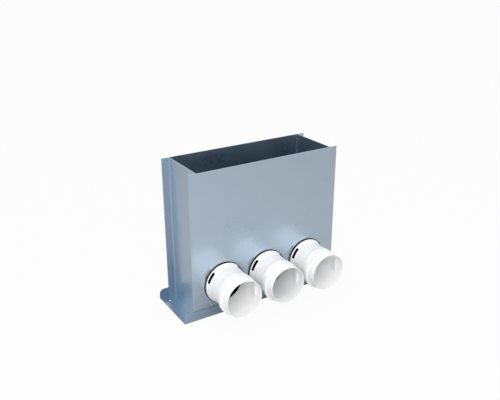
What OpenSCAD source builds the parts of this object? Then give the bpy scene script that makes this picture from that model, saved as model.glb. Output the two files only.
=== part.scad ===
// Air distribution box for a heat recovery ventilation system.
// A sheet steel box, open at the top, stands in a shallow tray. Three
// moulded spigots on its front take round flexible ducts, and a sliding
// clip in each spigot locks its duct.
// Millimetres, +Z up, spigots towards -Y. The origin is on the tray's
// underside, in the middle of its four fixing holes.

/* [Box] */
// Height from the tray's underside to the open top
box_h = 310; // [180:1:450]
// Depth over the front and back panels
box_d = 116.5; // [100:0.5:180]
// Thickness of the box's sheet
sheet_t = 1; // [0.7:0.1:1.5]
// How far the panels reach past the side walls
side_inset = 16.5; // [10:0.5:18]
// Inside radius of the side walls' folds
fold_r = 2; // [1:0.1:3]
// Gap between a side wall's flange and the panel's end
flange_short = 0.4; // [0.2:0.1:1]
// Height of the floor's welding flanges
floor_flange_h = 12; // [8:0.5:16]
// Gap between the flanges and the side walls' folds
flange_notch = 1; // [0.5:0.5:4]
// Radius of the sealant beads in the corners
bead_r = 4; // [3.6:0.1:6]
// Height and width of the sealant bead around the floor
floor_bead = 2.5; // [1.5:0.1:4]

/* [Tray] */
// Thickness of the tray's sheet
tray_t = 1; // [0.8:0.1:1.5]
// How far the tray reaches past the panels at each end
tray_ext = 20; // [16:0.5:40]
// Height of the tray's front and back lips
lip_h = 21; // [14:0.5:22]
// Radius of the lips' upper corners
lip_corner_r = 10; // [4:0.5:13]
// Gap between the lips and the panels
lip_gap = 0.5; // [0.2:0.1:1]
// Diameter of the fixing holes
fixing_hole_d = 4.5; // [3:0.1:6]
// Distance from a fixing hole to the tray's end
fixing_hole_end = 13.5; // [8:0.5:15]
// Distance from a fixing hole to the face of the nearest panel
fixing_hole_side = 19.25; // [10:0.25:30]

/* [Spigots] */
// Outside diameter of the duct that a spigot takes
duct_d = 75; // [72:0.5:77]
// Radial clearance around the duct
duct_clear = 0.25; // [0.2:0.05:0.5]
// Distance between the spigots' axes
spigot_pitch = 101.5; // [92:0.5:120]
// Distance from an outer spigot's axis to the panel's end
spigot_end = 71.5; // [61:0.5:110]
// Height of the spigots' axes
spigot_z = 68.5; // [67.5:0.5:90]
// How far a spigot reaches in front of the panel
spigot_reach = 80; // [76:0.5:110]
// Wall of the spigot's barrel and nose
barrel_wall = 1.25; // [1.1:0.05:1.5]
// How far the thicker head stands proud of the barrel
head_proud = 1.4; // [1.2:0.1:2]
// Drop from the head's back half to its front half
head_step = 0.5; // [0.2:0.1:0.8]
// Distance from the panel to the start of the head
head_start = 38.5; // [30:0.5:40]
// Length of the slope up to the head
head_slope = 5; // [3:0.5:8]
// Length of the slope between the head's two halves
step_slope = 2.5; // [1:0.5:4]
// Width of the head in front of the clip
head_land = 1.5; // [1:0.1:2.5]
// Length of the slope down to the nose
nose_slope = 3; // [2:0.5:5]
// Radial height of the flange above the barrel
flange_rise = 4.2; // [3.6:0.1:5]
// Width of the flange's cylindrical rim
flange_rim = 1.5; // [1:0.1:2.5]
// Length of the cone from the rim to the barrel
cone_len = 11.8; // [9:0.1:16]
// Distance from the panel to the seal that stops the duct
duct_stop = 4.8; // [4:0.1:15]
// Height of that seal above the socket's wall
stop_rise = 2.7; // [2:0.1:4]
// Play of the seal in the spigot
seal_play = 0.1; // [0.05:0.05:0.2]
// Edge break on the seal
seal_edge = 0.3; // [0.2:0.1:0.5]
// Edge break at the mouth
mouth_edge = 0.3; // [0.2:0.05:0.35]
// How much wider the socket is in front of the clip
mouth_relief = 0.4; // [0.4:0.05:0.5]
// Gap from the clip's slots to that wider part
relief_gap = 1; // [0.5:0.1:2]

/* [Snap hooks and gasket] */
// Thickness of the gasket under the flange
gasket_t = 2; // [1:0.1:3]
// How far the gasket shows outside the flange
gasket_show = 1.4; // [0.5:0.1:2.2]
// Play of the gasket's keys in the flange's windows
key_play = 0.1; // [0.05:0.05:0.2]
// How far the keys stay below the flange's cone
key_sink = 0.1; // [0.1:0.1:1.5]
// Distance that the boss reaches behind the panel's face
boss_len = 8; // [7:0.5:12]
// Wall of the boss
boss_wall = 2; // [1.5:0.1:2.5]
// How far the boss steps in from the barrel's surface
boss_step = 0.4; // [0.2:0.1:0.6]
// Radial clearance of the boss in the panel's hole
boss_clear = 0.3; // [0.1:0.05:0.5]
// Angle from the top to the two upper snap hooks and windows
hook_angle = 56.4; // [45:0.1:70]
// Width of a hook, as an angle
hook_span = 20; // [14:1:26]
// How far a hook's barb grips behind the panel
hook_bite = 1.8; // [1:0.1:2.5]
// Length of a hook's barb along the axis
hook_len = 4; // [3:0.1:4.5]
// Width of the slits beside a hook
slit_w = 1.5; // [1:0.1:2]
// Angle that a window in the flange spans
window_span = 33.8; // [26:0.1:36]
// Distance from the panel to the near edge of a window
window_near = 5.6; // [4.5:0.1:7]
// Distance from the panel to the far edge of a window
window_far = 11.3; // [9:0.1:12]
// Play of the panel between the gasket and the hooks
hook_play = 0.2; // [0.1:0.05:0.4]
// Length of the straight part of a barb
hook_land = 1; // [0.5:0.1:2]
// Gap between a barb's side and its slit, as an angle
slit_gap = 1; // [0.5:0.5:3]

/* [Retaining clips] */
// Thickness of a clip, along the duct
clip_t = 9.8; // [7:0.1:10.5]
// Distance from the panel to the middle of the clip
clip_at = 55.9; // [53:0.1:57]
// Play of the clip in its groove and slots
clip_play = 0.2; // [0.15:0.05:0.4]
// Angle from the top to the ends of the clip's groove
groove_angle = 41.5; // [36:0.5:48]
// Depth of the groove below the barrel's surface
groove_depth = 0.3; // [0.2:0.1:0.5]
// Half the distance between the clip's straight inner edges
clip_bite_x = 35; // [33:0.1:35.5]
// How far the clip's outer edge stands out of the barrel
clip_proud = 4.9; // [3.5:0.1:6]
// Radius of the clip's eased shoulders
clip_shoulder_r = 42.6; // [41.5:0.1:44]
// How far the centre of those shoulders lies below the axis
clip_shoulder_drop = 3.6; // [2.5:0.1:5]
// Length of the clip's arms above the axis
clip_arm = 19.6; // [17:0.1:20]

/* [Hidden] */
$fn = 96;
cut = 1;

// Places that several pieces share
panel_w = 2 * (spigot_pitch + spigot_end);
front_y = -box_d / 2;
panel_in_y = box_d / 2 - sheet_t;
floor_z = tray_t;
wall_x = panel_w / 2 - side_inset;
wall_in_x = wall_x - sheet_t;
wall_fold_r = fold_r + sheet_t;
bead_z = floor_z + floor_flange_h + floor_bead;
tray_l = panel_w + 2 * tray_ext;
tray_y = box_d / 2 + lip_gap;
tray_d = 2 * (tray_y + tray_t);
hole_x = tray_l / 2 - fixing_hole_end;
hole_y = box_d / 2 - fixing_hole_side;

// Radii of a spigot, from the duct outwards
socket_r = duct_d / 2 + duct_clear;
mouth_r = socket_r + mouth_relief;
stop_r = socket_r - stop_rise;
barrel_r = socket_r + barrel_wall;
head_back_r = barrel_r + head_proud;
head_front_r = head_back_r - head_step;
flange_r = barrel_r + flange_rise;
gasket_r = flange_r + gasket_show;
boss_r = barrel_r - boss_step;
boss_in_r = boss_r - boss_wall;
panel_hole_r = boss_r + boss_clear;
groove_r = barrel_r - groove_depth;

// Places along a spigot, from the panel's front face outwards
rim_at = gasket_t + flange_rim;
cone_end = rim_at + cone_len;
groove_w = clip_t + 2 * clip_play;
groove_front = clip_at + groove_w / 2;
groove_back = clip_at - groove_w / 2;
head_end = groove_front + head_land;
nose_at = head_end + nose_slope;
relief_at = groove_front + relief_gap;

window_low_r = cone_r(window_far);
window_high_r = cone_r(window_near);
hook_angles = [hook_angle, -hook_angle, 180];

steel = [0.66, 0.71, 0.75];
white = [0.94, 0.94, 0.93];
black = [0.05, 0.05, 0.06];
sealant = [0.3, 0.32, 0.34];

// ---- Base tray ----

// Floor and lips of the tray, seen along X
module tray_section() {
    bend_r = lip_gap + tray_t;
    floor_half = tray_y + tray_t - bend_r;
    translate([-floor_half, 0]) square([2 * floor_half, tray_t]);
    for (side = [-1, 1]) {
        translate([side < 0 ? -tray_y - tray_t : tray_y, bend_r])
            square([tray_t, lip_h - bend_r]);
        translate([side * floor_half, bend_r]) intersection() {
            difference() {
                circle(bend_r);
                circle(lip_gap);
            }
            translate([side < 0 ? -bend_r : 0, -bend_r]) square(bend_r);
        }
    }
}

// Outline of a lip, with its two upper corners rounded
module lip_outline() {
    translate([-tray_l / 2, -cut]) square([tray_l, cut + lip_h - lip_corner_r]);
    translate([-tray_l / 2 + lip_corner_r, -cut])
        square([tray_l - 2 * lip_corner_r, cut + lip_h]);
    for (side = [-1, 1])
        translate([side * (tray_l / 2 - lip_corner_r), lip_h - lip_corner_r])
            circle(lip_corner_r);
}

module base_tray() {
    color(steel) difference() {
        intersection() {
            translate([-tray_l / 2, 0, 0]) rotate([90, 0, 90])
                linear_extrude(tray_l) tray_section();
            translate([0, tray_d / 2 + cut, 0]) rotate([90, 0, 0])
                linear_extrude(tray_d + 2 * cut) lip_outline();
        }
        for (x = [-hole_x, hole_x], y = [-hole_y, hole_y])
            translate([x, y, -cut])
                cylinder(d = fixing_hole_d, h = tray_t + 2 * cut);
    }
}

// ---- Sheet steel box ----

module floor_pan() {
    pan_x = wall_in_x;
    notch = wall_fold_r + flange_notch;
    color(steel) {
        translate([-pan_x, -panel_in_y, floor_z])
            cube([2 * pan_x, 2 * panel_in_y, sheet_t]);
        for (side = [-1, 1]) {
            translate([side < 0 ? -pan_x : pan_x - sheet_t, notch - panel_in_y, floor_z])
                cube([sheet_t, 2 * (panel_in_y - notch), floor_flange_h]);
            translate([notch - pan_x, side < 0 ? -panel_in_y : panel_in_y - sheet_t, floor_z])
                cube([2 * (pan_x - notch), sheet_t, floor_flange_h]);
        }
    }
}

module panel_sheet() {
    translate([-panel_w / 2, 0, floor_z])
        cube([panel_w, sheet_t, box_h - floor_z]);
}

module front_panel() {
    color(steel) difference() {
        translate([0, front_y, 0]) panel_sheet();
        for (i = [-1, 0, 1])
            translate([i * spigot_pitch, front_y - cut, spigot_z]) rotate([-90, 0, 0])
                cylinder(r = panel_hole_r, h = sheet_t + 2 * cut);
    }
}

module back_panel() {
    color(steel) translate([0, panel_in_y, 0]) panel_sheet();
}

// Right-hand side wall from above: a channel that opens outwards
module side_wall_section() {
    flange_end = panel_w / 2 - flange_short;
    fold_x = wall_x + fold_r;
    fold_y = panel_in_y - wall_fold_r;
    translate([wall_in_x, -fold_y]) square([sheet_t, 2 * fold_y]);
    for (side = [-1, 1]) {
        translate([fold_x, side < 0 ? -panel_in_y : panel_in_y - sheet_t])
            square([flange_end - fold_x, sheet_t]);
        translate([fold_x, side * fold_y]) intersection() {
            difference() {
                circle(wall_fold_r);
                circle(fold_r);
            }
            translate([-wall_fold_r, side < 0 ? -wall_fold_r : 0])
                square(wall_fold_r);
        }
    }
}

module right_side_wall() {
    color(steel) translate([0, 0, floor_z])
        linear_extrude(box_h - floor_z) side_wall_section();
}

module left_side_wall() {
    mirror([1, 0, 0]) right_side_wall();
}

// ---- Sealant ----

// Bead that fills the hollow beside a fold, in the right back corner
module corner_bead() {
    fold_c = [wall_x + fold_r, panel_in_y - wall_fold_r];
    color(sealant) translate([0, 0, bead_z]) linear_extrude(box_h - bead_z - bead_r)
        intersection() {
            difference() {
                translate([wall_in_x, panel_in_y]) circle(bead_r);
                translate(fold_c) circle(wall_fold_r);
                translate([wall_in_x, fold_c[1] - bead_r]) square([bead_r * 2, bead_r]);
            }
            translate([wall_in_x - bead_r, panel_in_y - bead_r])
                square([bead_r + wall_fold_r, bead_r]);
        }
}

module floor_sealant() {
    color(sealant) translate([0, 0, floor_z + floor_flange_h]) linear_extrude(floor_bead)
        difference() {
            square([2 * wall_in_x, 2 * panel_in_y], center = true);
            square([2 * (wall_in_x - floor_bead), 2 * (panel_in_y - floor_bead)],
                   center = true);
        }
}

// ---- Spigots ----

// Puts a piece drawn with its axis on +Z at spigot number i
module at_spigot(i) {
    translate([i * spigot_pitch, front_y, spigot_z]) rotate([90, 0, 0]) children();
}

// Half section of a spigot: radius across, distance from the panel up
module spigot_section() {
    polygon([
        [boss_in_r, -boss_len], [boss_r, -boss_len], [boss_r, gasket_t],
        [flange_r, gasket_t], [flange_r, rim_at], [barrel_r, cone_end],
        [barrel_r, head_start], [head_back_r, head_start + head_slope],
        [head_back_r, groove_back - step_slope / 2],
        [head_front_r, groove_back + step_slope / 2],
        [head_front_r, head_end], [barrel_r, nose_at],
        [barrel_r, spigot_reach - mouth_edge], [barrel_r - mouth_edge, spigot_reach],
        [mouth_r + mouth_edge, spigot_reach], [mouth_r, spigot_reach - 2 * mouth_edge],
        [mouth_r, relief_at], [socket_r, relief_at],
        [socket_r, gasket_t], [boss_in_r, gasket_t]
    ]);
}

// Ring sector centred on an angle that is measured from the top
module sector(angle, span) {
    rotate([0, 0, 90 + angle - span / 2]) rotate_extrude(angle = span) children();
}

// Radius of the flange's cone at a distance from the panel
function cone_r(along) = flange_r - flange_rise * (along - rim_at) / cone_len;

// Curved window through the flange, in front of a hook
module flange_window(angle) {
    sector(angle, window_span) translate([window_low_r, gasket_t - cut])
        square([window_high_r - window_low_r, cone_end]);
}

// Barb of a snap hook, behind the panel
module hook_barb(angle) {
    back = -sheet_t - hook_play;
    sector(angle, hook_span) polygon([
        [boss_r - boss_wall / 2, back], [boss_r + hook_bite, back],
        [boss_r + hook_bite, back - hook_land], [boss_r, back - hook_len],
        [boss_r - boss_wall / 2, back - hook_len]
    ]);
}

// The two slits that let a hook bend
module hook_slits(angle) {
    side_angle = hook_span / 2 + asin(slit_w / boss_r) / 2 + slit_gap;
    for (side = [-1, 1])
        rotate([0, 0, 90 + angle + side * side_angle])
            translate([boss_in_r - cut, -slit_w / 2, -boss_len - cut])
                cube([boss_wall + 2 * cut, slit_w, boss_len + cut]);
}

// Groove for the clip: open over the sides and bottom, with round ends
module clip_groove() {
    end_r = groove_w / 2;
    end_angle = groove_angle + asin(end_r / head_front_r);
    difference() {
        translate([0, 0, clip_at]) {
            sector(180, 360 - 2 * end_angle)
                translate([groove_r - cut, -end_r]) square([2 * flange_rise, groove_w]);
            for (side = [-1, 1])
                rotate([0, 0, 90 + side * end_angle]) rotate([0, 90, 0])
                    cylinder(r = end_r, h = head_back_r + cut, $fn = 48);
        }
        translate([0, 0, groove_back - cut])
            cylinder(r = groove_r, h = groove_w + 2 * cut);
    }
}

// Slots through the wall, where the clip's arms reach the duct
module arm_slots() {
    slot_x = clip_bite_x - 2 * clip_play;
    for (side = [-1, 1])
        translate([side < 0 ? -flange_r : slot_x, -flange_r / 2, groove_back])
            cube([flange_r - slot_x, flange_r, groove_w]);
}

module spigot(i) {
    color(white) at_spigot(i) {
        difference() {
            rotate_extrude() spigot_section();
            for (angle = hook_angles) {
                flange_window(angle);
                hook_slits(angle);
            }
            clip_groove();
            arm_slots();
        }
        for (angle = hook_angles) hook_barb(angle);
    }
}

// Key of the gasket that fills a window, seen in section
module key_section() {
    inner = window_low_r + key_play;
    outer = window_high_r - key_play;
    polygon([
        [inner, gasket_t / 2], [outer, gasket_t / 2],
        [outer, window_near - key_sink], [inner, window_far - key_sink]
    ]);
}

module gasket(i) {
    key_gap = 2 * asin(key_play / window_high_r);
    color(black) at_spigot(i) {
        difference() {
            cylinder(r = gasket_r, h = gasket_t);
            translate([0, 0, -cut]) cylinder(r = panel_hole_r, h = gasket_t + 2 * cut);
        }
        for (angle = hook_angles) sector(angle, window_span - key_gap) key_section();
    }
}

// Sleeve that lines the boss and stops the duct on its thicker end
module seal(i) {
    color(black) at_spigot(i) rotate_extrude() polygon([
        [stop_r + seal_edge, -boss_len], [boss_in_r - seal_play, -boss_len],
        [boss_in_r - seal_play, gasket_t], [socket_r - seal_play, gasket_t],
        [socket_r - seal_play, duct_stop - seal_edge],
        [socket_r - seal_play - seal_edge, duct_stop], [stop_r + seal_edge, duct_stop],
        [stop_r, duct_stop - seal_edge], [stop_r, seal_edge - boss_len]
    ]);
}

// ---- Retaining clips ----

// A clip seen along the duct, in its locked place
module clip_outline() {
    difference() {
        intersection() {
            circle(barrel_r + clip_proud);
            translate([0, -clip_shoulder_drop]) circle(clip_shoulder_r);
        }
        intersection() {
            circle(groove_r + clip_play);
            translate([-clip_bite_x, -flange_r]) square([2 * clip_bite_x, 2 * flange_r]);
        }
        translate([-clip_bite_x, 0]) square([2 * clip_bite_x, 2 * flange_r]);
        translate([-flange_r, clip_arm]) square(2 * flange_r);
    }
}

module clip(i) {
    color(white) at_spigot(i) translate([0, 0, clip_at - clip_t / 2])
        linear_extrude(clip_t) clip_outline();
}

// ---- Nodes ----

base_tray();
floor_pan();
front_panel();
back_panel();
left_side_wall();
right_side_wall();
mirror([1, 0, 0]) mirror([0, 1, 0]) corner_bead();  // front_left_sealant
mirror([0, 1, 0]) corner_bead();  // front_right_sealant
mirror([1, 0, 0]) corner_bead();  // back_left_sealant
corner_bead();  // back_right_sealant
floor_sealant();
spigot(-1);  // left_spigot
spigot(0);  // centre_spigot
spigot(1);  // right_spigot
gasket(-1);  // left_gasket
gasket(0);  // centre_gasket
gasket(1);  // right_gasket
seal(-1);  // left_seal
seal(0);  // centre_seal
seal(1);  // right_seal
clip(-1);  // left_clip
clip(0);  // centre_clip
clip(1);  // right_clip
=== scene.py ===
import math

import bmesh
import bpy
from mathutils import Matrix, Vector, noise


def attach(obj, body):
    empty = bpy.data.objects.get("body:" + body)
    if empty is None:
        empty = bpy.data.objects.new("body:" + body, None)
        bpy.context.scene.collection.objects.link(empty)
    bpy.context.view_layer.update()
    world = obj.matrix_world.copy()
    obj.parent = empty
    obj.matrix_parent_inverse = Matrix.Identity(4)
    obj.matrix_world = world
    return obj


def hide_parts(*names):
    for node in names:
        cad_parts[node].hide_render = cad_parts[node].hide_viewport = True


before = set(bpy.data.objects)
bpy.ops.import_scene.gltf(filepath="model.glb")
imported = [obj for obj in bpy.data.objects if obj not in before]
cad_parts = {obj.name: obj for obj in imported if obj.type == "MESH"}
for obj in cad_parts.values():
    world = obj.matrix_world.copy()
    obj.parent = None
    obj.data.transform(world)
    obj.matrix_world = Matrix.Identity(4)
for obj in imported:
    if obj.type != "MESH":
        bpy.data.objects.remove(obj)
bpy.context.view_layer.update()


# ---- Base tray ----
# A shallow tray folded from 1 mm galvanised sheet, with a low lip in front
# and behind. Four screws through its floor hold the unit in the wall.

mm = 0.001
tray_length = 386 * mm
tray_depth = 119.5 * mm
tray_sheet = 1 * mm
tray_fold = 1.5 * mm
lip_height = 21 * mm
lip_corner = 10 * mm
screw_hole = 2.25 * mm
screw_x, screw_y = 179.5 * mm, 39 * mm
# Lengths that differ by less than this count as equal
tiny = 1e-6


def linear(colour):
    """The linear form of an sRGB hex colour."""
    shares = [int(colour[i:i + 2], 16) / 255 for i in (1, 3, 5)]
    return [s / 12.92 if s <= 0.04045 else ((s + 0.055) / 1.055) ** 2.4
            for s in shares] + [1]


def add(tree, kind, inputs=None, **settings):
    """One node: its settings, and a value or a link for each input."""
    node = tree.nodes.new(kind)
    for name, value in settings.items():
        setattr(node, name, value)
    for name, value in (inputs or {}).items():
        if isinstance(value, bpy.types.NodeSocket):
            tree.links.new(value, node.inputs[name])
        else:
            node.inputs[name].default_value = value
    return node


def new_material(name):
    """An empty material with its output node."""
    material = bpy.data.materials.new(name)
    material.use_nodes = True
    material.node_tree.nodes.clear()
    return material, material.node_tree, add(material.node_tree, "ShaderNodeOutputMaterial")


def galvanised_sheet(name, zinc, cloud, grain):
    """Hot-dip galvanised steel, skin-passed: a blue-grey satin metal with a
    faint rolling grain and soft clouds, and no spangle."""
    material, tree, output = new_material(name)
    place = add(tree, "ShaderNodeTexCoord").outputs["Object"]
    # Clouds in the zinc are about 40 mm across
    clouds = add(tree, "ShaderNodeTexNoise",
                 {"Vector": place, "Scale": 1 / (40 * mm), "Detail": 2})
    # Rolling lines are finer than 0.1 mm, drawn 0.8 mm wide so that they show
    line, run = 1 / (0.8 * mm), 1 / (60 * mm)
    along = add(tree, "ShaderNodeMapping",
                {"Vector": place, "Scale": [run if axis == grain else line for axis in "XYZ"]})
    lines = add(tree, "ShaderNodeTexNoise",
                {"Vector": along.outputs["Vector"], "Scale": 1, "Detail": 1})
    colour = add(tree, "ShaderNodeMix", {"Factor": clouds.outputs["Fac"],
                 "A": linear(zinc), "B": linear(cloud)}, data_type="RGBA")
    rough = add(tree, "ShaderNodeMapRange", {"Value": clouds.outputs["Fac"],
                "From Min": 0.3, "From Max": 0.7, "To Min": 0.27, "To Max": 0.32})
    relief = add(tree, "ShaderNodeBump", {"Height": lines.outputs["Fac"],
                 "Strength": 0.02, "Distance": 0.01 * mm})
    shader = add(tree, "ShaderNodeBsdfPrincipled",
                 {"Base Color": colour.outputs["Result"], "Metallic": 1,
                  "Roughness": rough.outputs["Result"], "Normal": relief.outputs["Normal"]})
    tree.links.new(shader.outputs["BSDF"], output.inputs["Surface"])
    return material


def section(points):
    """A line of edges through a few points, open at both ends."""
    bm = bmesh.new()
    corners = [bm.verts.new(p) for p in points]
    for a, b in zip(corners, corners[1:]):
        bm.edges.new((a, b))
    return bm, corners


def round_corners(bm, corners, radius, steps):
    """Turns corner points into arcs."""
    bmesh.ops.bevel(bm, geom=corners, offset=radius, offset_type="OFFSET", segments=steps,
                    profile=0.5, affect="VERTICES", clamp_overlap=True, material=-1)


def pull(bm, edges, way):
    """Draws edges out into faces."""
    made = bmesh.ops.extrude_edge_only(bm, edges=edges)["geom"]
    moved = [g for g in made if isinstance(g, bmesh.types.BMVert)]
    bmesh.ops.translate(bm, verts=moved, vec=way)


def pierce(bm, face, centres, radius, turn, steps):
    """Punches round holes through one flat face of a sheet."""
    rim = set(face.edges)
    bmesh.ops.delete(bm, geom=[face], context="FACES_ONLY")
    for centre in centres:
        hole = bmesh.ops.create_circle(bm, segments=steps, radius=radius,
                                       matrix=Matrix.Translation(centre) @ turn)
        rim |= {edge for vert in hole["verts"] for edge in vert.link_edges}
    bmesh.ops.triangle_fill(bm, edges=list(rim), use_beauty=True)


def finish_piece(bm, name, material, wall=0, edge=0.2 * mm, smooth=20, limit=30):
    """The finished object: its wall, its broken edges, its smooth faces."""
    mesh = bpy.data.meshes.new(name)
    bm.to_mesh(mesh)
    bm.free()
    piece = bpy.data.objects.new(name, mesh)
    bpy.context.scene.collection.objects.link(piece)
    if wall:
        shell = piece.modifiers.new("Wall", "SOLIDIFY")
        shell.thickness, shell.offset = abs(wall), math.copysign(1, wall)
        shell.use_even_offset = True
    if edge:
        broken = piece.modifiers.new("Edges", "BEVEL")
        broken.width, broken.segments, broken.profile = edge, 2, 0.5
        broken.limit_method, broken.angle_limit = "ANGLE", math.radians(limit)
    settle(piece)
    piece.data.shade_smooth()
    piece.data.set_sharp_from_angle(angle=math.radians(smooth))
    piece.data.materials.clear()
    piece.data.materials.append(material)
    return piece


def settle(piece):
    """Applies a piece's modifiers."""
    done = piece.evaluated_get(bpy.context.evaluated_depsgraph_get())
    mesh = bpy.data.meshes.new_from_object(done)
    piece.modifiers.clear()
    piece.data = mesh


half, side = tray_length / 2, tray_depth / 2
bm, corners = section([(-half, -side, lip_height), (-half, -side, 0),
                       (-half, side, 0), (-half, side, lip_height)])
round_corners(bm, corners[1:3], tray_fold, 6)
pull(bm, bm.edges[:], (tray_length, 0, 0))
round_corners(bm, [v for v in bm.verts if v.co.z > lip_height - tiny], lip_corner, 16)
floor = max(bm.faces, key=lambda f: f.calc_area())
pierce(bm, floor, [(x, y, 0) for x in (-screw_x, screw_x) for y in (-screw_y, screw_y)],
       screw_hole, Matrix.Identity(4), 32)
bmesh.ops.recalc_face_normals(bm, faces=bm.faces)
tray_steel = galvanised_sheet("galvanised_tray_sheet", "#A9BDCE", "#B0C3D3", "X")
tray = finish_piece(bm, "tray_sheet", tray_steel, wall=-tray_sheet)
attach(tray, "box")
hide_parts("base_tray")


# ---- Front and back panels ----
# Two flat sheets of 1 mm galvanised steel that reach past the side walls.
# The front one has three punched holes for the spigots.

panel_width = 346 * mm
panel_front, panel_back = -58.25 * mm, 58.25 * mm
panel_foot, panel_top = 1 * mm, 310 * mm
box_sheet = 1 * mm
spigot_places = {"left": -101.5 * mm, "centre": 0, "right": 101.5 * mm}
spigot_height = 68.5 * mm
panel_hole = 38.9 * mm
facing = Matrix.Rotation(math.radians(90), 4, "X")

box_steel = galvanised_sheet("galvanised_box_sheet", "#BCCDDC", "#C3D3E1", "Z")
for name, y, holes in (("front_panel", panel_front, True), ("back_panel", panel_back, False)):
    bm, corners = section([(-panel_width / 2, y, panel_foot), (panel_width / 2, y, panel_foot)])
    pull(bm, bm.edges[:], (0, 0, panel_top - panel_foot))
    if holes:
        bm.faces.ensure_lookup_table()
        pierce(bm, bm.faces[0], [(x, y, spigot_height) for x in spigot_places.values()],
               panel_hole, facing, 96)
    outward = Vector((0, y, 0))
    bmesh.ops.reverse_faces(bm, faces=[f for f in bm.faces if f.normal.dot(outward) < 0])
    panel = finish_piece(bm, name + "_sheet", box_steel, wall=-box_sheet)
    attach(panel, "box")
    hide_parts(name)


# ---- Side walls ----
# Each is one sheet folded to a channel that opens outwards. Its two flanges
# lie against the panels and are spot welded to them.

wall_inside = 155.5 * mm
wall_fold = 3 * mm
flange_end = 172.6 * mm
panel_inside = 57.25 * mm

for name, hand in (("left_side_wall", -1), ("right_side_wall", 1)):
    bm, corners = section([(hand * x, y, panel_foot) for x, y in (
        (flange_end, -panel_inside), (wall_inside, -panel_inside),
        (wall_inside, panel_inside), (flange_end, panel_inside))])
    round_corners(bm, corners[1:3], wall_fold, 8)
    pull(bm, bm.edges[:], (0, 0, panel_top - panel_foot))
    bmesh.ops.recalc_face_normals(bm, faces=bm.faces)
    web = max(bm.faces, key=lambda f: f.calc_area())
    if web.normal.x * hand > 0:
        bmesh.ops.reverse_faces(bm, faces=bm.faces)
    wall = finish_piece(bm, name + "_sheet", box_steel, wall=-box_sheet)
    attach(wall, "box")
    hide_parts(name)


# ---- Floor pan ----
# A pan of the same sheet closes the bottom of the box. Its four flanges are
# folded up and spot welded inside the panels and the side walls.

pan_flange = 12 * mm
pan_notch = 4 * mm
pan_fold = 1.4 * mm

bm, corners = section([(-wall_inside, y, panel_foot) for y in
                       (pan_notch - panel_inside, panel_inside - pan_notch)])
pull(bm, bm.edges[:], (pan_notch, 0, 0))
pull(bm, [e for e in bm.edges if min(v.co.x for v in e.verts) > pan_notch - wall_inside - tiny],
     (2 * (wall_inside - pan_notch), 0, 0))
pull(bm, [e for e in bm.edges if min(v.co.x for v in e.verts) > wall_inside - pan_notch - tiny],
     (pan_notch, 0, 0))
for hand in (-1, 1):
    reach = hand * (panel_inside - pan_notch)
    pull(bm, [e for e in bm.edges if e.is_boundary and e.calc_length() > wall_inside
              and all(abs(v.co.y - reach) < tiny for v in e.verts)],
         (0, hand * pan_notch, 0))
rim = [e for e in bm.edges if e.is_boundary and (
    all(abs(abs(v.co.x) - wall_inside) < tiny for v in e.verts)
    or all(abs(abs(v.co.y) - panel_inside) < tiny for v in e.verts))]
pull(bm, rim, (0, 0, pan_flange))
bmesh.ops.bevel(bm, geom=rim, offset=pan_fold, offset_type="OFFSET", segments=5,
                profile=0.5, affect="EDGES", clamp_overlap=True, material=-1)
bmesh.ops.recalc_face_normals(bm, faces=bm.faces)
base = max(bm.faces, key=lambda f: f.calc_area())
if base.normal.z > 0:
    bmesh.ops.reverse_faces(bm, faces=bm.faces)
pan = finish_piece(bm, "floor_pan_sheet", box_steel, wall=-box_sheet)
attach(pan, "box")
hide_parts("floor_pan")


# ---- Sealant ----
# Beads of grey sealant run by hand along the inside joints keep the box
# airtight: one up each corner, and one around the floor.

bead = 4 * mm
bead_foot, bead_top = 15.5 * mm, 306 * mm
floor_bead = 2.5 * mm
ripple = 0.2 * mm


def cured_sealant():
    """One-part hybrid sealant, cured: a grey rubber with a soft shine and the
    long ripples that a nozzle leaves."""
    material, tree, output = new_material("cured_grey_sealant")
    place = add(tree, "ShaderNodeTexCoord").outputs["Object"]
    # Nozzle ripples come every 6 mm or so
    waves = add(tree, "ShaderNodeTexNoise",
                {"Vector": place, "Scale": 1 / (6 * mm), "Detail": 3})
    colour = add(tree, "ShaderNodeMix", {"Factor": waves.outputs["Fac"],
                 "A": linear("#4C5358"), "B": linear("#596066")}, data_type="RGBA")
    relief = add(tree, "ShaderNodeBump", {"Height": waves.outputs["Fac"],
                 "Strength": 0.4, "Distance": 0.4 * mm})
    shader = add(tree, "ShaderNodeBsdfPrincipled",
                 {"Base Color": colour.outputs["Result"], "Roughness": 0.45, "IOR": 1.45,
                  "Normal": relief.outputs["Normal"]})
    tree.links.new(shader.outputs["BSDF"], output.inputs["Surface"])
    return material


def close_and_pull(bm, way):
    """Fills a closed section and draws it out into a solid."""
    bmesh.ops.remove_doubles(bm, verts=bm.verts, dist=tiny)
    face = bmesh.ops.contextual_create(bm, geom=bm.edges[:])["faces"]
    made = bmesh.ops.extrude_face_region(bm, geom=face)["geom"]
    bmesh.ops.translate(bm, verts=[g for g in made if isinstance(g, bmesh.types.BMVert)],
                        vec=way)
    bmesh.ops.recalc_face_normals(bm, faces=bm.faces)


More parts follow.
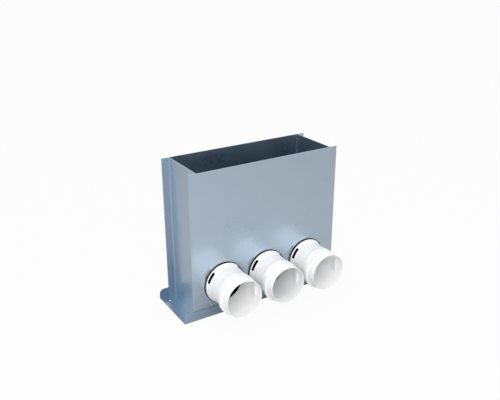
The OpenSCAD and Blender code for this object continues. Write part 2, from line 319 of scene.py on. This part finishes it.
sealant = cured_sealant()
for name, hand, end in (("front_left", -1, -1), ("front_right", 1, -1),
                        ("back_left", -1, 1), ("back_right", 1, 1)):
    fold = [wall_inside + wall_fold, panel_inside - wall_fold]
    rise = [math.radians(a) for a in (180, 150, 120, 98)]
    hollow = [(fold[0] + wall_fold * math.cos(a), fold[1] + wall_fold * math.sin(a))
              for a in rise]
    edge_points = [(wall_inside - bead, panel_inside), (wall_inside - bead, panel_inside - bead),
                   (wall_inside, panel_inside - bead)] + hollow + [(hollow[-1][0], panel_inside)]
    bm, corners = section([(hand * x, end * y, bead_foot)
                           for x, y in edge_points + edge_points[:1]])
    bmesh.ops.remove_doubles(bm, verts=bm.verts, dist=tiny)
    round_corners(bm, [v for v in bm.verts if abs(abs(v.co.x) - wall_inside + bead) < tiny
                       and abs(abs(v.co.y) - panel_inside + bead) < tiny], 0.98 * bead, 8)
    close_and_pull(bm, (0, 0, bead_top - bead_foot))
    upright = [e for e in bm.edges if abs(e.verts[0].co.z - e.verts[1].co.z) > bead]
    bmesh.ops.subdivide_edges(bm, edges=upright, cuts=60)
    bmesh.ops.recalc_face_normals(bm, faces=bm.faces)
    for v in bm.verts:
        inward = Vector((hand * wall_inside, end * panel_inside, v.co.z)) - v.co
        free = abs(v.co.x) < wall_inside - tiny and abs(v.co.y) < panel_inside - tiny
        if free and inward.length > 0.5 * bead:
            swell = noise.noise(Vector((hand, end, v.co.z / (9 * mm))))
            v.co += inward.normalized() * ripple * (0.6 + swell)
    strip = finish_piece(bm, name + "_bead", sealant, edge=0, smooth=40)
    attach(strip, "box")
    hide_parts(name + "_sealant")

bm = bmesh.new()
ring_foot = panel_foot + pan_flange
bmesh.ops.create_grid(bm, x_segments=1, y_segments=1, size=1,
                      matrix=Matrix.Translation((0, 0, ring_foot))
                      @ Matrix.Diagonal((wall_inside, panel_inside, 1, 1)))
ring = bmesh.ops.inset_region(bm, faces=bm.faces, thickness=floor_bead, use_even_offset=True,
                              use_boundary=True)["faces"]
bmesh.ops.delete(bm, geom=[f for f in bm.faces if f not in ring], context="FACES")
made = bmesh.ops.extrude_face_region(bm, geom=bm.faces[:])["geom"]
bmesh.ops.translate(bm, verts=[g for g in made if isinstance(g, bmesh.types.BMVert)],
                    vec=(0, 0, floor_bead))
bmesh.ops.recalc_face_normals(bm, faces=bm.faces)
inner_top = [e for e in bm.edges if all(v.co.z > ring_foot + tiny
             and abs(v.co.x) < wall_inside - tiny and abs(v.co.y) < panel_inside - tiny
             for v in e.verts)]
bmesh.ops.bevel(bm, geom=inner_top, offset=0.9 * floor_bead, offset_type="OFFSET", segments=6,
                profile=0.5, affect="EDGES", clamp_overlap=True, material=-1)
floor_strip = finish_piece(bm, "floor_bead", sealant, edge=0, smooth=40)
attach(floor_strip, "box")
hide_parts("floor_sealant")


# ---- Spigots ----
# Three sockets of white moulded plastic that take round 75 mm ducts. Each is
# pushed through its hole until three snap hooks catch behind the panel.

# Outline of a spigot's wall: radius, distance in front of the panel, rounding
spigot_wall = [(38.6, -8, 0.6), (38.6, 2, 0), (43.2, 2, 0.3), (43.2, 3.5, 0.5),
               (39.0, 15.3, 0.8), (39.0, 38.5, 1.5), (40.4, 43.5, 1.5), (40.4, 49.55, 0.8),
               (39.9, 52.05, 0.8), (39.9, 62.5, 0.6), (39.0, 65.5, 1.2), (39.0, 80, 0.38),
               (38.15, 80, 0.38), (38.15, 62, 0), (37.75, 62, 0), (37.75, 2, 0),
               (36.6, 2, 0), (36.6, -8, 0.4)]
hook_angles = [56.4, -56.4, 180]
window_radii = (40.42 * mm, 42.45 * mm)
window_span = 33.8
window_foot, window_reach = 1 * mm, 17 * mm
# Outline of a snap hook behind the panel: radius, distance in front of it
hook_wall = [(37.6, -1.2), (40.4, -1.2), (40.4, -2.2), (38.3, -5.7), (37.6, -5.7)]
hook_span = 20
boss_radius, boss_length = 37.6 * mm, 8 * mm
slit, slit_gap = 1.5 * mm, 1
groove_front, groove_back = 61.0 * mm, 50.8 * mm
groove_floor, groove_radius = 38.7 * mm, 39.9 * mm
groove_end = 41.5
slot_x, slot_depth, slot_height = 34.6 * mm, 10 * mm, 43.2 * mm
# Cuts that meet stay this far from each other's faces
skim = 0.03 * mm
# Heights of the tools that cut the clip's groove and the slits beside the hooks
tool_height, slit_height = 6 * mm, 5 * mm
ring_steps = 128
# With 96 steps here the cut leaves non-manifold edges
groove_steps = 91


def moulded_plastic(name, white, shade):
    """Injection-moulded white polypropylene: a satin skin with a barely
    visible flow pattern and the fine grain of an etched mould."""
    material, tree, output = new_material(name)
    place = add(tree, "ShaderNodeTexCoord").outputs["Object"]
    # Flow marks are 25 mm long; the mould's 0.1 mm grain is drawn at 0.6 mm
    flow = add(tree, "ShaderNodeTexNoise",
               {"Vector": place, "Scale": 1 / (25 * mm), "Detail": 2})
    grain = add(tree, "ShaderNodeTexNoise",
                {"Vector": place, "Scale": 1 / (0.6 * mm), "Detail": 2})
    colour = add(tree, "ShaderNodeMix", {"Factor": flow.outputs["Fac"],
                 "A": linear(white), "B": linear(shade)}, data_type="RGBA")
    rough = add(tree, "ShaderNodeMapRange", {"Value": flow.outputs["Fac"],
                "From Min": 0.3, "From Max": 0.7, "To Min": 0.4, "To Max": 0.46})
    relief = add(tree, "ShaderNodeBump", {"Height": grain.outputs["Fac"],
                 "Strength": 0.05, "Distance": 0.03 * mm})
    shader = add(tree, "ShaderNodeBsdfPrincipled",
                 {"Base Color": colour.outputs["Result"], "Roughness": rough.outputs["Result"],
                  "IOR": 1.49, "Normal": relief.outputs["Normal"], "Subsurface Weight": 0.3,
                  "Subsurface Radius": (1, 1, 1), "Subsurface Scale": 1 * mm})
    tree.links.new(shader.outputs["BSDF"], output.inputs["Surface"])
    return material


def around(radius, angle, depth=0):
    """A point around a spigot's axis: angle from the top, depth from the panel."""
    turn = math.radians(angle)
    return Vector((-radius * math.sin(turn), -depth, radius * math.cos(turn)))


def sweep(bm, geom, angle, steps, centre=(0, 0, 0)):
    """Turns points or edges about an axis that runs along the duct."""
    made = bmesh.ops.spin(bm, geom=geom, cent=centre, axis=(0, -1, 0), angle=math.radians(angle),
                          steps=steps, use_merge=abs(angle) == 360)
    return made["geom_last"]


def turned(wall):
    """A whole ring with this outline."""
    bm = bmesh.new()
    corners = [bm.verts.new(around(r * mm, 90, d * mm)) for r, d, _ in wall]
    bm.faces.new(corners)
    for corner, (_, _, rounding) in zip(corners, wall):
        if rounding:
            round_corners(bm, [corner], rounding * mm, 4)
    bmesh.ops.delete(bm, geom=bm.faces[:], context="FACES_ONLY")
    sweep(bm, bm.verts[:] + bm.edges[:], 360, ring_steps)
    bmesh.ops.recalc_face_normals(bm, faces=bm.faces)
    return bm


def ring_part(points, middle, span, steps):
    """A piece of a ring with this outline, over part of a turn."""
    bm = bmesh.new()
    corners = [bm.verts.new(around(r * mm, middle - span / 2, d * mm)) for r, d in points]
    sweep(bm, [bm.faces.new(corners)], span, steps)
    bmesh.ops.recalc_face_normals(bm, faces=bm.faces)
    return bm


def curved_bar(angle, play, start, length):
    """A curved bar with round ends that fills one window, less some play."""
    low, high = window_radii
    middle, end = (low + high) / 2, (high - low) / 2
    arc = window_span - 2 * math.degrees(math.asin(end / middle))
    bm = bmesh.new()
    last = [bm.verts.new(around(high - play, angle - arc / 2, start))]
    last = sweep(bm, last, arc, 16)
    last = sweep(bm, last, 180, 12, around(middle, angle + arc / 2))
    last = sweep(bm, last, -arc, 16)
    sweep(bm, last, 180, 12, around(middle, angle - arc / 2))
    close_and_pull(bm, (0, -length, 0))
    return bm


def loose(bm):
    """An object for a mesh that other meshes are cut from or joined to."""
    mesh = bpy.data.meshes.new("shape")
    bm.to_mesh(mesh)
    bm.free()
    shape = bpy.data.objects.new("shape", mesh)
    bpy.context.scene.collection.objects.link(shape)
    return shape


def combine(shape, others, operation):
    """Cuts other objects out of one, or joins them to it, and removes them."""
    for other in others:
        step = shape.modifiers.new("Shape", "BOOLEAN")
        step.object, step.operation, step.solver = other, operation, "EXACT"
    settle(shape)
    for other in others:
        bpy.data.objects.remove(other)


def box_tool(size, place, angle=0):
    """A square-edged slot, turned about the spigot's axis."""
    bm = bmesh.new()
    bmesh.ops.create_cube(bm, size=1, matrix=Matrix.Rotation(math.radians(-angle), 4, "Y")
                          @ Matrix.Translation(place) @ Matrix.Diagonal((*size, 1)))
    return loose(bm)


def groove_end_tool(angle):
    """The round end of the clip's groove."""
    width = groove_front - groove_back
    bm = bmesh.new()
    bmesh.ops.create_cone(bm, cap_ends=True, segments=40,
                          radius1=width / 2 - skim, radius2=width / 2 - skim,
                          depth=tool_height,
                          matrix=Matrix.Rotation(math.radians(-angle), 4, "Y")
                          @ Matrix.Translation((0, -(groove_front + groove_back) / 2,
                                                groove_floor + tool_height / 2)))
    return loose(bm)


def spigot_mesh():
    """One spigot, with its axis through the origin."""
    spigot = loose(turned(spigot_wall))
    cuts = [loose(curved_bar(angle, 0, window_foot, window_reach)) for angle in hook_angles]
    slit_turn = hook_span / 2 + math.degrees(slit / boss_radius) / 2 + slit_gap
    cuts += [box_tool((slit, 2 * boss_length, slit_height), (0, boss_length, boss_radius),
                      angle + side * slit_turn) for angle in hook_angles for side in (-1, 1)]
    groove_middle, groove_width = (groove_front + groove_back) / 2, groove_front - groove_back
    end = groove_end + math.degrees(math.asin(groove_width / 2 / groove_radius))
    outside = groove_radius / mm + tool_height / mm
    groove_profile = [(groove_floor / mm, groove_back / mm), (outside, groove_back / mm),
                      (outside, groove_front / mm), (groove_floor / mm, groove_front / mm)]
    cuts.append(loose(ring_part(groove_profile, 180, 360 - 2 * end, groove_steps)))
    cuts += [groove_end_tool(side * end) for side in (-1, 1)]
    cuts += [box_tool((slot_depth, groove_width - 2 * skim, slot_height),
                      (side * (slot_x + slot_depth / 2), -groove_middle, 0)) for side in (-1, 1)]
    combine(spigot, cuts, "DIFFERENCE")
    combine(spigot, [loose(ring_part(hook_wall, angle, hook_span, 12)) for angle in hook_angles],
            "UNION")
    made = spigot.data
    bpy.data.objects.remove(spigot)
    return made


spigot_plastic = moulded_plastic("moulded_white_polypropylene", "#FAFAFA", "#F7F7F7")
one_spigot = spigot_mesh()
for name, x in spigot_places.items():
    bm = bmesh.new()
    bm.from_mesh(one_spigot)
    bmesh.ops.translate(bm, verts=bm.verts, vec=(x, panel_front, spigot_height))
    moulding = finish_piece(bm, name + "_spigot_moulding", spigot_plastic, edge=0.15 * mm,
                            smooth=32, limit=40)
    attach(moulding, "box")
    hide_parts(name + "_spigot")


# ---- Gaskets ----
# A flat ring of black EPDM rubber, 2 mm thick, is pinched between each
# spigot's flange and the panel. Its three black keys fill the flange's windows
# as painted shade for the dark hollow behind them.

gasket_wall = [(38.9, 0, 0), (38.9, 2, 0), (44.6, 2, 0.6), (44.6, 0, 0.3)]
shade_key_foot, shade_key_play = 1 * mm, 0.1 * mm
shade_key_low, shade_key_high = (40.52 * mm, 10.95 * mm), (42.35 * mm, 5.8 * mm)


def black_rubber_and_shade():
    """Moulded EPDM: a matt black rubber, greyer where it catches the light; its black also
    paints the shade in the spigots' windows and bores.
    """
    material, tree, output = new_material("epdm_and_painted_shade")
    place = add(tree, "ShaderNodeTexCoord").outputs["Object"]
    # Bloom on the rubber comes in patches of about 4 mm
    bloom = add(tree, "ShaderNodeTexNoise",
                {"Vector": place, "Scale": 1 / (4 * mm), "Detail": 3})
    # Near black: the gasket's own colour, and painted shade in the keys and the bore sleeves
    colour = add(tree, "ShaderNodeMix", {"Factor": bloom.outputs["Fac"],
                 "A": linear("#040506"), "B": linear("#08090B")}, data_type="RGBA")
    relief = add(tree, "ShaderNodeBump", {"Height": bloom.outputs["Fac"],
                 "Strength": 0.2, "Distance": 0.1 * mm})
    shader = add(tree, "ShaderNodeBsdfPrincipled",
                 {"Base Color": colour.outputs["Result"], "Roughness": 0.8, "IOR": 1.5,
                  "Specular IOR Level": 0.1,
                  "Normal": relief.outputs["Normal"]})
    tree.links.new(shader.outputs["BSDF"], output.inputs["Surface"])
    return material


rubber_and_shade_black = black_rubber_and_shade()
shade_key_slope = (shade_key_low[1] - shade_key_high[1]) / (shade_key_high[0] - shade_key_low[0])
for name, x in spigot_places.items():
    gasket = loose(turned(gasket_wall))
    shade_keys = []
    # Black keys in the windows: painted shade for the hollow behind the flange
    for angle in hook_angles:
        bm = curved_bar(angle, shade_key_play, shade_key_foot, window_reach)
        for v in bm.verts:
            if v.co.y < -shade_key_foot - tiny:
                v.co.y = -shade_key_high[1] - shade_key_slope * (shade_key_high[0] - math.hypot(v.co.x, v.co.z))
        shade_keys.append(loose(bm))
    combine(gasket, shade_keys, "UNION")
    bm = bmesh.new()
    bm.from_mesh(gasket.data)
    bpy.data.objects.remove(gasket)
    bmesh.ops.translate(bm, verts=bm.verts, vec=(x, panel_front, spigot_height))
    ring = finish_piece(bm, name + "_gasket_ring_and_shade_keys", rubber_and_shade_black, edge=0, smooth=32)
    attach(ring, "box")
    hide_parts(name + "_gasket")


# ---- Bore shade sleeves ----
# A black sleeve of the same rubber lines the back of each spigot: painted
# shade for the dark depth of the bore. It is thicker at its front end.

shade_sleeve_wall = [(35.05, -8, 0.3), (36.5, -8, 0), (36.5, 2, 0), (37.65, 2, 0), (37.65, 4.8, 0.3),
             (35.05, 4.8, 0.3)]

for name, x in spigot_places.items():
    # Black lining: painted shade deep in the spigot's bore
    bm = turned(shade_sleeve_wall)
    bmesh.ops.translate(bm, verts=bm.verts, vec=(x, panel_front, spigot_height))
    shade_lining = finish_piece(bm, name + "_painted_shade_sleeve", rubber_and_shade_black, edge=0, smooth=32)
    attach(shade_lining, "box")
    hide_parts(name + "_seal")


# ---- Retaining clips ----
# A white plastic U slides up into each spigot's groove. Its arms reach
# through two slots and hold the duct's ribs, and it pulls down to let go.

clip_radius = 43.9 * mm
shoulder_radius = 42.6 * mm
shoulder_drop = 3.6 * mm
clip_inside = 38.9 * mm
clip_bite = 35 * mm
arm_top = 19.6 * mm
clip_back, clip_front = 51.0 * mm, 60.8 * mm

clip_plastic = moulded_plastic("moulded_white_clip_polypropylene", "#FAFAFA", "#F7F7F7")
for name, x in spigot_places.items():
    meet = -(clip_radius ** 2 - shoulder_radius ** 2 + shoulder_drop ** 2) / (2 * shoulder_drop)
    foot = -math.sqrt(clip_inside ** 2 - clip_bite ** 2)
    tip = math.sqrt(shoulder_radius ** 2 - (arm_top + shoulder_drop) ** 2)
    shoulder = (math.atan2(arm_top + shoulder_drop, tip)
                - math.atan2(meet + shoulder_drop, math.sqrt(clip_radius ** 2 - meet ** 2)))
    belly = math.pi - 2 * math.asin(-meet / clip_radius)
    hollow = math.pi - 2 * math.asin(-foot / clip_inside)
    bm = bmesh.new()
    last = [bm.verts.new((tip, -clip_back, arm_top))]
    last = sweep(bm, last, -math.degrees(shoulder), 20, (0, 0, -shoulder_drop))
    last = sweep(bm, last, -math.degrees(belly), 72)
    last = sweep(bm, last, -math.degrees(shoulder), 20, (0, 0, -shoulder_drop))
    outer_end = last[0]
    inner_start = bm.verts.new((-clip_bite, -clip_back, arm_top))
    inner_foot = bm.verts.new((-clip_bite, -clip_back, foot))
    bm.edges.new((outer_end, inner_start))
    bm.edges.new((inner_start, inner_foot))
    last = sweep(bm, [inner_foot], math.degrees(hollow), 64)
    inner_end = bm.verts.new((clip_bite, -clip_back, arm_top))
    bm.edges.new((last[0], inner_end))
    bm.verts.ensure_lookup_table()
    bm.edges.new((inner_end, bm.verts[0]))
    close_and_pull(bm, (0, clip_back - clip_front, 0))
    bmesh.ops.translate(bm, verts=bm.verts, vec=(x, panel_front, spigot_height))
    clip = finish_piece(bm, name + "_clip_moulding", clip_plastic, edge=0.35 * mm, smooth=30)
    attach(clip, name + "_clip_body")
    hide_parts(name + "_clip")


# ---- Studio ----
# A plain pale floor, a bright even surround and two broad soft lamps, which
# light the plastic and aren't mirrored in the steel.

scene = bpy.context.scene
scene.view_settings.view_transform = "Standard"

floor_reach, floor_drop = 20, 0.3 * mm
floor_glow = 0.95
surround = 0.82
floor_material, tree, output = new_material("pale_studio_floor")
rays = add(tree, "ShaderNodeLightPath").outputs
paint = add(tree, "ShaderNodeBsdfDiffuse", {"Color": linear("#C9C9C9")})
glow = add(tree, "ShaderNodeEmission", {"Color": linear("#FFFFFF"), "Strength": 1})
seen = add(tree, "ShaderNodeMath", {0: rays["Is Camera Ray"], 1: floor_glow},
           operation="MULTIPLY")
mix = add(tree, "ShaderNodeMixShader", {0: seen.outputs[0], 1: paint.outputs[0],
                                        2: glow.outputs[0]})
tree.links.new(mix.outputs[0], output.inputs["Surface"])
bm = bmesh.new()
bmesh.ops.create_grid(bm, x_segments=1, y_segments=1, size=floor_reach,
                      matrix=Matrix.Translation((0, 0, -floor_drop)))
mesh = bpy.data.meshes.new("studio_floor")
bm.to_mesh(mesh)
bm.free()
mesh.materials.append(floor_material)
studio_floor = bpy.data.objects.new("studio_floor", mesh)
scene.collection.objects.link(studio_floor)

scene.world = bpy.data.worlds.new("studio_surround")
scene.world.use_nodes = True
tree = scene.world.node_tree
tree.nodes.clear()
rays = add(tree, "ShaderNodeLightPath").outputs
light = add(tree, "ShaderNodeBackground", {"Color": linear("#FFFFFF"), "Strength": surround})
backdrop = add(tree, "ShaderNodeBackground", {"Color": linear("#FFFFFF"), "Strength": 1})
seen = add(tree, "ShaderNodeMath", {0: rays["Is Camera Ray"], 1: rays["Is Glossy Ray"]},
           operation="MAXIMUM")
seen = add(tree, "ShaderNodeMath", {0: seen.outputs[0], 1: rays["Is Transmission Ray"]},
           operation="MAXIMUM")
mix = add(tree, "ShaderNodeMixShader", {0: seen.outputs[0], 1: light.outputs[0],
                                        2: backdrop.outputs[0]})
output = add(tree, "ShaderNodeOutputWorld", {"Surface": mix.outputs[0]})

for name, place, size, watts in (("top_softbox", (0, -0.3, 1.8), 1.4, 6),
                                 ("front_softbox", (-0.7, -1.2, 0.8), 1.0, 9)):
    lamp = bpy.data.lights.new(name, "AREA")
    lamp.shape, lamp.size, lamp.energy = "SQUARE", size, watts
    softbox = bpy.data.objects.new(name, lamp)
    softbox.location, softbox.visible_glossy = place, False
    softbox.rotation_euler = (Vector((0, 0, 0.1)) - Vector(place)).to_track_quat(
        "-Z", "Y").to_euler()
    scene.collection.objects.link(softbox)

camera_place = (-0.6394, -1.0180, 0.6907)
camera_aim = Vector((0.4911, 0.7865, -0.3746))
camera_roll = math.radians(-0.07)
lens = bpy.data.cameras.new("camera")
lens.lens, lens.sensor_width, lens.sensor_fit = 44.75, 36, "HORIZONTAL"
lens.clip_start, lens.clip_end = 0.05, 100
camera = bpy.data.objects.new("camera", lens)
camera.location = camera_place
camera.rotation_euler = (camera_aim.to_track_quat("-Z", "Y")
                         @ Matrix.Rotation(camera_roll, 3, "Z").to_quaternion()).to_euler()
scene.collection.objects.link(camera)
scene.camera = camera
